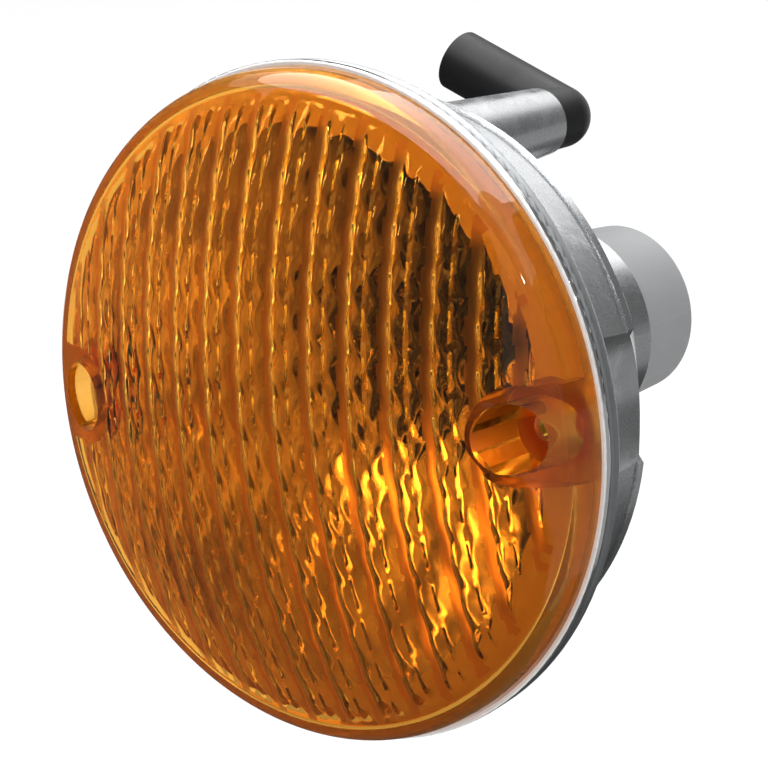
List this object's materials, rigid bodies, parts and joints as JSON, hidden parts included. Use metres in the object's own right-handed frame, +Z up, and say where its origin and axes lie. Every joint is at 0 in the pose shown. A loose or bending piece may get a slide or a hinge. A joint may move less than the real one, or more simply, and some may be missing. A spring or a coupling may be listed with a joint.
{
  "type": "rear indicator lamp",
  "caption": "Round rear indicator lamp with an amber fluted lens, screw pockets, flanged metal housing, twist-in bulb holder and a cable outlet with a rubber elbow.",
  "frame": {"origin": "centre of the flange's rear face, where the lamp seats on the panel", "axes": "+Y along the lamp axis to the rear, lens towards -Y, +Z up, panel screws on the X axis"},
  "size_m": [0.1072, 0.0946, 0.1072],
  "materials": {
    "amber_plastic": "clear amber, polished outside and fluted inside",
    "black_rubber": "satin black",
    "bright_reflector": "polished bright",
    "cast_metal": "silver, fine cast mottle",
    "grey_plastic": "light grey satin",
    "brass": "bright",
    "steel": "plain",
    "brown_board": "brown laminate",
    "clear_glass": "clear",
    "black_glass": "black"
  },
  "bodies": {
    "root": {"lens": "amber_plastic", "reflector": "bright_reflector", "rim_gasket": "black_rubber", "housing": "cast_metal", "outlet_elbow": "black_rubber", "holder_cap": "grey_plastic", "holder_gasket": "black_rubber", "socket_sleeve": "steel", "contact_board": "brown_board", "contact_plunger": "brass", "contact_spring": "steel", "live_terminal": "brass", "earth_terminal": "brass", "bulb_glass": "clear_glass", "bulb_cap": "brass", "bulb_insulator": "black_glass", "bulb_contact": "steel", "bulb_stem": "clear_glass", "bulb_leads": "steel", "bulb_filament": "steel"}
  },
  "joints": []
}
